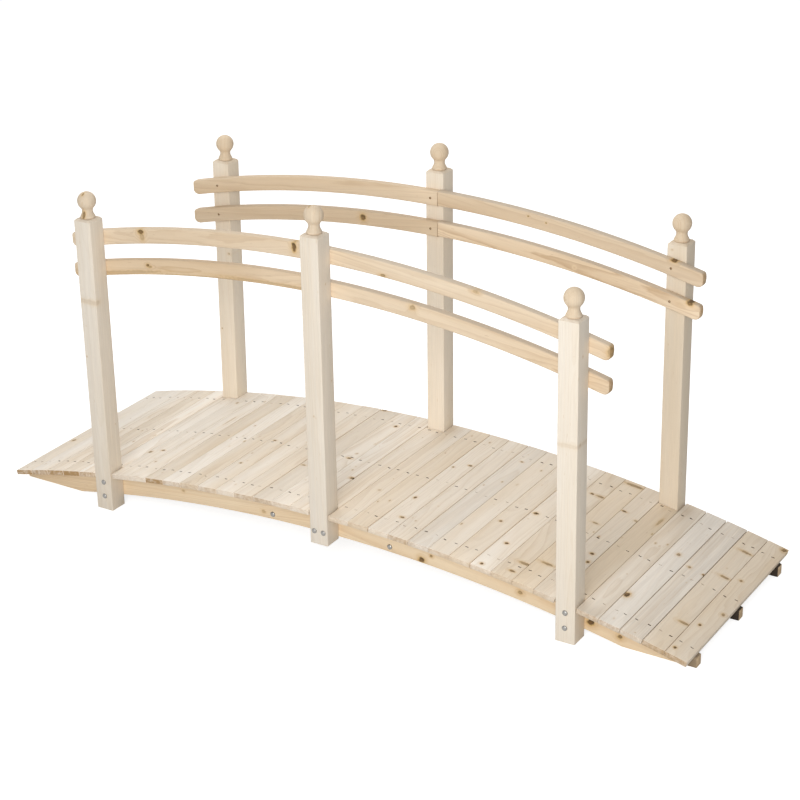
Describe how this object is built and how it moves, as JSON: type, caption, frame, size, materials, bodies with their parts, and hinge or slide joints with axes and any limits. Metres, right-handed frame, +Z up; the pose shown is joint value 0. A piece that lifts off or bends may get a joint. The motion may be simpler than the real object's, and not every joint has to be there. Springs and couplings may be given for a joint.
{
  "type": "arched wooden garden bridge",
  "caption": "Arched wooden garden bridge: crosswise deck boards on arched stringers, square posts with turned ball finials and paired curved handrails on both sides.",
  "frame": {"origin": "on the ground, at the middle of the bridge's length and width", "axes": "+X along the bridge towards its right end, +Y across it towards the back railing, +Z up"},
  "size_m": [2.2572, 0.702, 1.0813],
  "materials": {
    "post_wood": "planed, unfinished pale fir",
    "finial_wood": "turned and sanded, unfinished fir",
    "rail_wood": "planed with eased edges, unfinished fir",
    "stringer_wood": "planed, unfinished fir",
    "deck_wood": "planed, unfinished knotty fir",
    "bolt_zinc": "zinc-plated bolts, screws and nails"
  },
  "bodies": {
    "root": {"post_front_left": "post_wood", "post_front_middle": "post_wood", "post_front_right": "post_wood", "post_back_left": "post_wood", "post_back_middle": "post_wood", "post_back_right": "post_wood", "finial_front_left": "finial_wood", "finial_front_middle": "finial_wood", "finial_front_right": "finial_wood", "finial_back_left": "finial_wood", "finial_back_middle": "finial_wood", "finial_back_right": "finial_wood", "upper_rail_front_left": "rail_wood", "upper_rail_front_right": "rail_wood", "upper_rail_back_left": "rail_wood", "upper_rail_back_right": "rail_wood", "lower_rail_front_left": "rail_wood", "lower_rail_front_right": "rail_wood", "lower_rail_back_left": "rail_wood", "lower_rail_back_right": "rail_wood", "stringer_front_left": "stringer_wood", "stringer_front_right": "stringer_wood", "stringer_middle_left": "stringer_wood", "stringer_middle_right": "stringer_wood", "stringer_back_left": "stringer_wood", "stringer_back_right": "stringer_wood", "splice_front": "stringer_wood", "splice_middle": "stringer_wood", "splice_back": "stringer_wood", "boards_left_ramp": "deck_wood", "board_left_posts": "deck_wood", "boards_left_bay": "deck_wood", "board_middle_posts": "deck_wood", "boards_right_bay": "deck_wood", "board_right_posts": "deck_wood", "boards_right_ramp": "deck_wood"}
  },
  "joints": []
}
